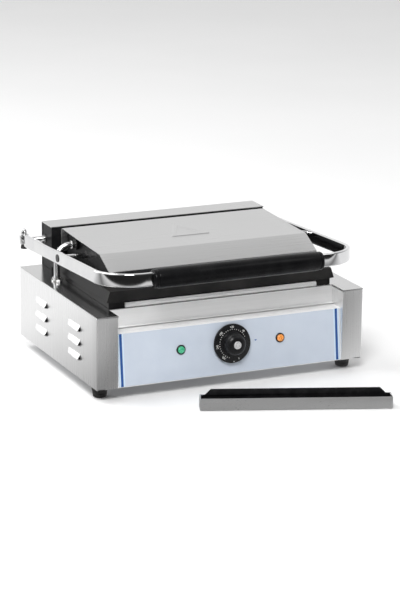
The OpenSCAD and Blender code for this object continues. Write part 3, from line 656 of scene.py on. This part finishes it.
def makeHandleBar():
    s = handleSet
    place = armFrame()
    reach = (Vector(joints["handle_hinge"]["pos_m"]).y - frontY) / mm + s["reach"]
    rest()
    bpy.ops.mesh.primitive_plane_add(size=1, rotation=(0, math.pi / 2, 0))
    bar = bpy.context.object
    bar.scale = (s["high"] * mm, s["thick"] * mm, 1)
    put(bar)
    edit(bar)
    bpy.ops.mesh.bevel(offset=s["edge"] * mm, segments=5, affect="VERTICES")
    bpy.ops.mesh.select_all(action="SELECT")
    bpy.ops.transform.translate(value=(0, (s["thick"] / 2 - reach) * mm, -s["drop"] * mm))
    bpy.ops.mesh.delete(type="ONLY_FACE")
    bpy.ops.mesh.select_all(action="SELECT")
    straight = s["armAt"] - s["bend"]
    bpy.ops.mesh.extrude_edges_move(TRANSFORM_OT_translate={"value": (-straight * mm, 0, 0)})
    centre = Vector((-straight, s["bend"] - reach, -s["drop"])) * mm
    bpy.ops.mesh.spin(steps=20, angle=math.pi / 2, center=centre, axis=(0, 0, 1))
    arm = reach - s["bend"] + s["back"] - s["boss"]
    bpy.ops.mesh.extrude_edges_move(TRANSFORM_OT_translate={"value": (0, arm * mm, 0)})
    bpy.ops.mesh.edge_face_add()
    rest()
    b, h = s["boss"], s["high"] / 2
    low = s["cut"] - h
    boss = turned([(2.6, low), (b - 1.2, low), (b - 0.35, low + 0.4), (b, low + 1.2),
                   (b, h - 1.2), (b - 0.35, h - 0.4), (b - 1.2, h), (2.6, h)], 48)
    put(boss, Matrix.Translation(Vector((s["thick"] / 2 - s["armAt"], s["back"], -s["drop"])) * mm))
    neck = box((-s["armAt"], s["back"] - b - 0.6, low - s["drop"]),
               (s["thick"] - s["armAt"], s["back"] - 3.0, h - s["drop"]), 1.2, 3)
    bar = join([bar, boss, neck])
    modify(bar, "MIRROR", use_axis=(True, False, False), use_mirror_merge=True, merge_threshold=0.00002)
    edit(bar)
    bpy.ops.mesh.remove_doubles(threshold=0.00001)
    bpy.ops.mesh.normals_make_consistent(inside=False)
    put(bar, place)
    finished(bar, "handleBar", "handle_frame", "chrome_bar", ["handle_bar"], 40)
    print("handle bar bent:", [round(c / mm, 1) for c in bar.dimensions])


def makeGrip():
    s = handleSet
    reach = (Vector(joints["handle_hinge"]["pos_m"]).y - frontY) / mm + s["reach"]
    h, r = s["gripHalf"], s["gripR"]
    rings = [(8.5, -h), (r - 3.4, -h), (r - 1.5, -h + 0.7), (r - 0.9, -h + 2.0), (r - 0.9, -h + 4.6), (r - 1.5, -h + 5.0),
             (r - 1.5, -h + 5.8), (r - 0.5, -h + 6.3), (r, -h + 7.4)]
    rings += [(r, y) for y in (-60, 0, 60)]
    rings += [(a, -b) for a, b in reversed(rings[:9])]
    grip = turned(rings, 72)
    turn = Matrix.Translation(Vector((0, s["thick"] / 2 - reach, -s["drop"])) * mm) @ Matrix.Rotation(math.pi / 2, 4, "Y")
    put(grip, armFrame() @ turn)
    finished(grip, "handleGrip", "handle_frame", "grip_black", ["handle_grip"], 30)
    print("grip turned:", len(grip.data.polygons), "faces")


def makeStops():
    s = handleSet
    nut = turned([(4.1, 0), (4.7, 0.45), (4.8, 0.9), (4.8, 3.3), (4.3, 4.1)], 6)
    modify(nut, "BEVEL", width=0.25 * mm, segments=2, limit_method="ANGLE", angle_limit=math.radians(40))
    dome = turned([(3.9, 3.7), (4.0, 4.6), (3.85, 5.6), (3.3, 6.7), (2.4, 7.5), (1.2, 7.95), (0.3, 8.02)], 40)
    nut = join([nut, dome])
    boss = turned([(2.6, -0.02), (4.2, 0.0), (4.4, -0.3), (4.5, -1.2), (5.0, -2.4), (5.45, -4.6), (5.35, -6.2),
                   (4.6, -7.0), (2.2, -7.0)], 40)
    place = armFrame() @ Matrix.Translation(Vector((s["thick"] / 2 - s["armAt"], s["back"], 0)) * mm)
    top, under = s["high"] / 2 - s["drop"], s["cut"] - s["high"] / 2 - s["drop"]
    for made, z, name, stands, slotName in ((nut, top, "stopNuts", "stop_nuts", "chrome_bar"),
                                            (boss, under, "stopBumpers", "stop_bumpers", "black_rubber")):
        put(made, place @ Matrix.Translation((0, 0, z * mm)))
        pair = join([made, copyOf(made, Matrix.Scale(-1, 4, (1, 0, 0)))])
        finished(pair, name, "handle_frame", slotName, [stands], 40)
    print("cap nuts and bumpers made")


# Knob, lamps and their marks.

knobSet = {"numbers": ("60", "120", "180", "240", "300"), "first": 44.0, "step": 47.2, "ticks": 5,
           "numberAt": 23.7, "numberHigh": 4.0, "tickAt": 21.0, "tickLong": 1.4, "tickWide": 0.8}


def panelFrame(x=0.0, up=0.0, out=0.4):
    # On the control panel: X along it, Y up it, Z out of it, from the knob's middle.
    j = joints["knob_turn"]
    z = -Vector(j["axis"])
    y = z.cross(Vector((1, 0, 0))).normalized()
    turn = Matrix(((1, 0, 0), y, z)).transposed().to_4x4()
    return Matrix.Translation(Vector(j["pos_m"])) @ turn @ Matrix.Translation(Vector((x, up, out)) * mm)


def markFinish(name, colour):
    f = Finish(name)
    ink = f.noise(900.0, (1, 1, 1), 2.0)
    f.put("Base Color", f.mix(f.spread(ink, 0, 1), tuple(c * 0.85 for c in colour) + (1,), tuple(colour) + (1,)))
    f.put("Roughness", f.spread(ink, 0.4, 0.55))
    return f.made


def makeKnob():
    s = knobSet
    knob = turned([(26.4, 4.5), (26.4, 2.5), (27.6, 2.5), (27.95, 3.0), (27.95, 5.2), (27.7, 5.9), (27.0, 6.3), (17.6, 7.6),
                   (16.8, 8.1), (16.2, 9.8), (15.7, 14.6), (15.0, 17.4), (13.7, 19.8), (11.8, 21.4), (9.6, 22.4),
                   (7.2, 22.9), (6.3, 22.9), (6.0, 22.6), (5.9, 22.3)], 96)
    put(knob, panelFrame())
    finished(knob, "knobBody", "knob_body", "knob_black", ["knob"], 32)
    cap = turned([(5.5, 22.3), (5.55, 23.0), (5.2, 23.35), (3.6, 23.35), (3.3, 22.9), (3.0, 22.8)], 48)
    slotBar = box((-0.5, -2.6, 22.6), (0.5, 2.6, 23.2), 0.2)
    cap = join([cap, slotBar])
    put(cap, panelFrame())
    finished(cap, "knobCap", "knob_body", "cap_metal", ["knob_cap"], 32)
    height = lambda r: 7.6 - (r - 17.6) * 1.3 / 9.4
    lean = math.atan2(1.3, 9.4)
    marks = []
    count = (len(s["numbers"]) - 1) * s["ticks"]
    for i in range(-2, count + 3):
        angle = math.radians(s["first"] + s["step"] * i / s["ticks"])
        major = 0 <= i <= count and i % s["ticks"] == 0
        long, wide, start = s["tickLong"] * (1.0 if major else 0.8), s["tickWide"] / 2, s["tickAt"] - 1.2
        dot = box((0, -wide, -0.05), (long, wide, 0.09), 0.04, 1)
        spin = Matrix.Rotation(angle, 4, "Z") @ Matrix.Translation(Vector((start, 0, height(start))) * mm)
        marks.append(put(dot, spin @ Matrix.Rotation(lean, 4, "Y")))
    for i, number in enumerate(s["numbers"]):
        rest()
        bpy.ops.object.text_add()
        text = bpy.context.object
        text.data.body = number
        text.data.size = s["numberHigh"] * mm
        text.data.extrude = 0.05 * mm
        text.data.align_x = text.data.align_y = "CENTER"
        bpy.ops.object.convert(target="MESH")
        angle = math.radians(s["first"] + s["step"] * i)
        lift = height(s["numberAt"]) + 0.04
        spin = Matrix.Rotation(angle, 4, "Z") @ Matrix.Translation(Vector((s["numberAt"], 0, lift)) * mm)
        marks.append(put(bpy.context.object, spin @ Matrix.Rotation(lean, 4, "Y") @ Matrix.Rotation(-math.pi / 2, 4, "Z")))
    pointer = turned([(1.35, -0.05), (1.35, 0.06), (1.2, 0.1)], 3)
    pointer.scale = (1.7, 0.8, 1)
    spin = Matrix.Rotation(math.radians(-69), 4, "Z") @ Matrix.Translation(Vector((23.6, 0, height(23.6))) * mm)
    marks.append(put(pointer, spin @ Matrix.Rotation(lean, 4, "Y")))
    dot = turned([(0.75, -0.05), (0.75, 0.06), (0.6, 0.1)], 20)
    spin = Matrix.Rotation(math.radians(-88), 4, "Z") @ Matrix.Translation(Vector((25.6, 0, height(25.6))) * mm)
    marks.append(put(dot, spin @ Matrix.Rotation(lean, 4, "Y")))
    dial = join(marks)
    put(dial, panelFrame())
    dial.data.materials.append(markFinish("whiteInk", (0.92, 0.92, 0.90)))
    finished(dial, "dialMarks", "knob_body", "knob_black", (), 30)
    mark = turned([(2.4, -0.02), (2.4, 0.02), (2.3, 0.03)], 3)
    mark.scale = (1, 0.62, 1)
    put(mark, panelFrame(38.6) @ Matrix.Rotation(math.pi, 4, "Z"))
    mark.data.materials.append(markFinish("blueInk", (0.03, 0.14, 0.42)))
    finished(mark, "indexMark", "base", "panel_film", (), 30)
    print("knob and its marks made:", len(marks), "marks")


lampSet = {"side": 76.7, "up": -1.0}


def makeLamps():
    side, up = lampSet["side"], lampSet["up"]
    for name, x, slotName in (("power", -side, "green_lens"), ("heat", side, "amber_lens")):
        # Painted shade: a dark ring round each lens, standing for the shade at the lens's rim.
        paintedRimShade = turned([(6.9, 0.0), (6.9, 0.7), (6.6, 1.3), (5.9, 1.7), (5.3, 1.6), (5.0, 1.0), (5.0, 0.4)], 48)
        put(paintedRimShade, panelFrame(x, up))
        finished(paintedRimShade, name + "Bezel", "base", "dark_metal", (), 35)
        lens = turned([(5.1, 0.4), (5.15, 1.6), (4.95, 2.6), (4.4, 3.5),
                       (3.5, 4.25), (2.3, 4.7), (1.0, 4.88), (0.2, 4.9)], 36)
        put(lens, panelFrame(x, up))
        finished(lens, name + "Lens", "base", slotName, [name + "_lamp"], 35)
    print("lamps made")


# Feet, hose, springs and tray.

feetSet = {"r": 12.5, "rearSide": 165.0}


def makeFeet():
    s = feetSet
    foot = turned([(5.2, 3.0), (5.2, 0.4), (5.6, 0.0), (8.6, 0.0), (9.5, 0.8), (10.2, 5.0), (9.9, 5.5), (9.9, 6.4),
                   (10.4, 6.9),
                   (11.9, 14.2), (12.4, 15.0), (12.4, 17.0), (12.0, 17.5)], 56)
    low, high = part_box("rubber_feet")
    front, back = (low[1] - frontY) / mm + s["r"], (high[1] - frontY) / mm - s["r"]
    side = high[0] / mm - s["r"]
    places = [(-side, front), (side, front), (-s["rearSide"], back), (s["rearSide"], back)]
    feet = [copyOf(foot, Matrix.Translation(at(x, y, 0))) for x, y in places]
    bpy.data.objects.remove(foot)
    finished(join(feet), "rubberFeet", "base", "black_rubber", ["rubber_feet"], 35)
    print("feet turned:", len(places))


hoseSet = {"r": 4.45, "groove": 0.16, "pitch": 1.6, "bend": 20.0}


def makeHose():
    s = hoseSet
    low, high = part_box("conduit_hose")
    x, y = low[0] / mm + 4.5, (low[1] - frontY) / mm + 4.5
    top, foot = high[2] / mm - 4.5, deckZ / mm
    rest()
    bpy.ops.mesh.primitive_circle_add(vertices=28, radius=s["r"] * mm, fill_type="NOTHING", location=at(x, y, foot + 0.5))
    hose = bpy.context.object
    put(hose)
    edit(hose, "EDGE")
    rise = top - s["bend"] - foot - 0.5
    count = int(rise / s["pitch"] * 4)
    centre = at(x + s["bend"], y, top - s["bend"])
    for i in range(count):
        bpy.ops.mesh.extrude_edges_move(TRANSFORM_OT_translate={"value": (0, 0, rise / count * mm)})
    around = int(math.pi / 2 * s["bend"] / s["pitch"] * 4)
    bpy.ops.mesh.spin(steps=around, angle=-math.pi / 2, center=centre, axis=(0, 1, 0))
    run = high[0] / mm - x - s["bend"] - 0.2
    count2 = int(run / s["pitch"] * 4)
    for i in range(count2):
        bpy.ops.mesh.extrude_edges_move(TRANSFORM_OT_translate={"value": (run / count2 * mm, 0, 0)})
    rest()
    for v in hose.data.vertices:
        p = v.co
        if p.z < centre.z:
            core, way = Vector((at(x, y, 0).x, at(x, y, 0).y, p.z)), p.z - foot * mm
        elif p.x < centre.x:
            out = Vector((p.x - centre.x, 0, p.z - centre.z)).normalized()
            core = centre + out * s["bend"] * mm
            way = rise * mm + math.atan2(out.z, -out.x) * s["bend"] * mm
        else:
            core = Vector((p.x, centre.y, top * mm))
            way = (rise + s["bend"] * math.pi / 2) * mm + p.x - centre.x
        swell = 1 - s["groove"] / s["r"] * (0.5 + 0.5 * math.cos(way / mm / s["pitch"] * 2 * math.pi))
        v.co = core + (p - core) * swell
    edit(hose)
    bpy.ops.mesh.normals_make_consistent(inside=False)
    finished(hose, "conduitHose", None, "hose_metal", ["conduit_hose"], 60)
    at(x, y, foot + 4)
    at(x, y, top - s["bend"])
    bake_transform(hose)
    ferrule = turned([(4.55, 0), (5.6, 0.0), (5.9, 0.3), (5.9, 5.2), (5.5, 5.7), (4.55, 5.8)], 40)
    put(ferrule, Matrix.Translation(at(-152.0 - 4.5 - 5.4, y, top)) @ Matrix.Rotation(math.pi / 2, 4, "Y"))
    finished(ferrule, "hoseFerrule", "lid", "zinc_screw", (), 35)
    print("hose swept:", len(hose.data.polygons), "faces")


springSet = {"wire": 1.5, "r": 6.7, "turns": 12, "pitch": 3.04}


def makeSprings():
    s = springSet
    hinge = Vector(joints["handle_hinge"]["pos_m"])
    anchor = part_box("spring_anchor")
    hookZ = (anchor[0][2] - hinge.z) / mm - s["wire"]
    rest()
    bpy.ops.mesh.primitive_circle_add(vertices=10, radius=s["wire"] * mm, fill_type="NOTHING", rotation=(0, 0, 0))
    coil = put(bpy.context.object, Matrix.Translation((0, -s["r"] * mm, 0)))
    modify(coil, "SCREW", axis="X", angle=2 * math.pi, screw_offset=s["pitch"] * mm, iterations=s["turns"], steps=28,
           render_steps=28, use_merge_vertices=False)
    edit(coil, "EDGE", False)
    pick("EDGE", lambda e: e.is_boundary)
    bpy.ops.mesh.edge_face_add()
    leg = turned([(s["wire"], hookZ), (s["wire"], -0.3)], 12)
    put(leg, Matrix.Translation((0, -s["r"] * mm, 0)))
    hookLong = (hinge.y - anchor[0][1]) / mm - s["r"] - 3.0
    hook = turned([(s["wire"], -s["wire"]), (s["wire"], hookLong)], 12)
    put(hook, Matrix.Translation(Vector((0, -s["r"], hookZ)) * mm) @ Matrix.Rotation(math.pi / 2, 4, "X"))
    one = join([coil, leg, hook])
    edit(one)
    bpy.ops.mesh.normals_make_consistent(inside=False)
    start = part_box("counter_springs")[0][0] + s["wire"] * mm + 0.1 * mm
    put(one, Matrix.Translation((start, hinge.y, hinge.z)))
    pair = join([one, copyOf(one, Matrix.Scale(-1, 4, (1, 0, 0)))])
    finished(pair, "counterSprings", "base", "spring_steel", ["counter_springs"], 40)
    print("springs wound:", s["turns"], "turns each")


traySet = {"corner": (-88.0, -84.2), "turn": -20.5, "long": 265.0, "deep": 20.0, "high": 17.0, "rise": 8.0, "sheet": 0.9,
           "notch": 8.0}


def makeTray():
    s = traySet
    tray = box((0, 0, 0), (s["long"], s["deep"], s["high"]))
    edit(tray, everything=False)
    pick("FACE", lambda f: f.normal.z > 0.9)
    bpy.ops.mesh.delete(type="FACE")
    pick("EDGE", lambda e: e.is_boundary and all(abs(v.co.y - s["deep"] * mm) < 1e-6 for v in e.verts))
    bpy.ops.mesh.extrude_edges_move(TRANSFORM_OT_translate={"value": (0, 0, 0.2 * mm)})
    shoulder, top = s["long"] - 2 * s["notch"], s["long"] - 4 * s["notch"]
    centre = (s["long"] / 2 * mm, s["deep"] * mm, s["high"] * mm)
    bpy.ops.transform.resize(value=(shoulder / s["long"], 1, 1), center_override=centre)
    bpy.ops.mesh.extrude_edges_move(TRANSFORM_OT_translate={"value": (0, 0, (s["rise"] - 0.2) * mm)})
    bpy.ops.transform.resize(value=(top / shoulder, 1, 1), center_override=centre)

    def folded(e):    # the upright corners and the edges of the floor
        low, high = sorted(v.co.z for v in e.verts)
        return not e.is_boundary and (high - low > 5 * mm or low + high < 1e-6)

    pick("EDGE", folded)
    bpy.ops.mesh.bevel(offset=1.2 * mm, segments=3, affect="EDGES")
    bpy.ops.mesh.select_all(action="SELECT")
    bpy.ops.mesh.normals_make_consistent(inside=False)
    rest()
    modify(tray, "SOLIDIFY", thickness=s["sheet"] * mm, offset=-1, use_even_offset=True)
    modify(tray, "BEVEL", width=0.2 * mm, segments=2, limit_method="ANGLE", angle_limit=math.radians(50))
    edit(tray)
    bpy.ops.mesh.normals_make_consistent(inside=False)
    rest()
    # Painted shade: black enamel on the tray's inner walls and floor stands for the shade inside the tray.
    inside = blackEnamel("trayCoating")
    tray.data.materials.append(finishes["brushed_tray"])
    tray.data.materials.append(inside)
    # the inner faces take the painted shade
    for f in tray.data.polygons:
        x, y, z = f.center / mm
        inner = 0.5 < x < s["long"] - 0.5 and 0.5 < y < s["deep"] - 0.5 and z > 0.6
        f.material_index = 1 if inner and abs(f.normal.z) < 0.95 or (inner and z < 3) else 0
    turn = Matrix.Translation(at(s["corner"][0], s["corner"][1], 0)) @ Matrix.Rotation(math.radians(s["turn"]), 4, "Z")
    put(tray, turn)
    finished(tray, "dripTray", "tray", "brushed_tray", ["drip_tray"], 35)
    print("tray folded:", len(tray.data.polygons), "faces")


# Pieces carried over from the frame: finishes, and edges broken as a file would.

edgeWidth = {"brushed_side": 0.25, "polished_deck": 0.35, "brushed_band": 0.3, "brushed_cover": 0.35, "cast_black": 0.45,
             "black_enamel": 0.5, "panel_film": 0.1, "lip_metal": 0.35}


def dressFrame():
    for name, obj in nodes.items():
        slotName = slotOf[name]
        obj.data.materials.clear()
        obj.data.materials.append(finishes[slotName])
        weld = obj.modifiers.new("weld", "WELD")
        weld.merge_threshold = 0.00001
        edge = obj.modifiers.new("edge", "BEVEL")
        edge.width = edgeWidth.get(slotName, 0.2) * mm
        edge.segments = 2
        edge.limit_method = "ANGLE"
        edge.angle_limit = math.radians(38)
        edge.harden_normals = True
    print("frame nodes dressed:", len(nodes))


def makeFloor():
    rest()
    bpy.ops.mesh.primitive_plane_add(size=24, location=(0, 0, -0.0005))
    floor = bpy.context.object
    floor.name = "studioFloor"
    f = Finish("paleFloor")
    f.put("Base Color", f.mix(f.spread(f.noise(3.0), 0, 1), (0.94, 0.94, 0.94, 1), (0.96, 0.96, 0.96, 1)))
    f.shader.inputs["Roughness"].default_value = 0.7
    f.shader.inputs["Specular IOR Level"].default_value = 0.1
    place = f.add("TexCoord", out=3)
    across = f.add("SeparateXYZ", {}, {0: place})
    along = f.add("SeparateXYZ", {}, {0: place}, out=1)
    # Painted reflection: a dark-to-light ramp across the floor, shown to glossy rays in place of the lit floor.
    stops = [(where, (v, v, v, 1)) for where, v in airSet["paintedReflection"]]
    paintedReflection = f.add("ValToRGB", {"stops": stops}, {0: f.spread(along + across * 0.6, 0, 1, -0.95, 0.25)})
    mirrored = f.add("Emission", {}, {"Color": paintedReflection, "Strength": 1.0})    # painted reflection: glossy rays see this painted dark-to-light ramp instead of the lit floor
    lit = Value(f, f.shader.outputs[0])
    both = f.add("MixShader", {}, {0: f.add("LightPath", out=3), 1: lit, 2: mirrored})
    f.links.new(both.link, f.nodes["Material Output"].inputs["Surface"])
    floor.data.materials.append(f.made)
    print("floor laid")


makeCamera()
makeLights()
makeFloor()
dressFrame()
makeSidePanels()
makeLidCover()
makeHandleBar()
makeGrip()
makeStops()
makeKnob()
makeLamps()
makeFeet()
makeHose()
makeSprings()
makeTray()
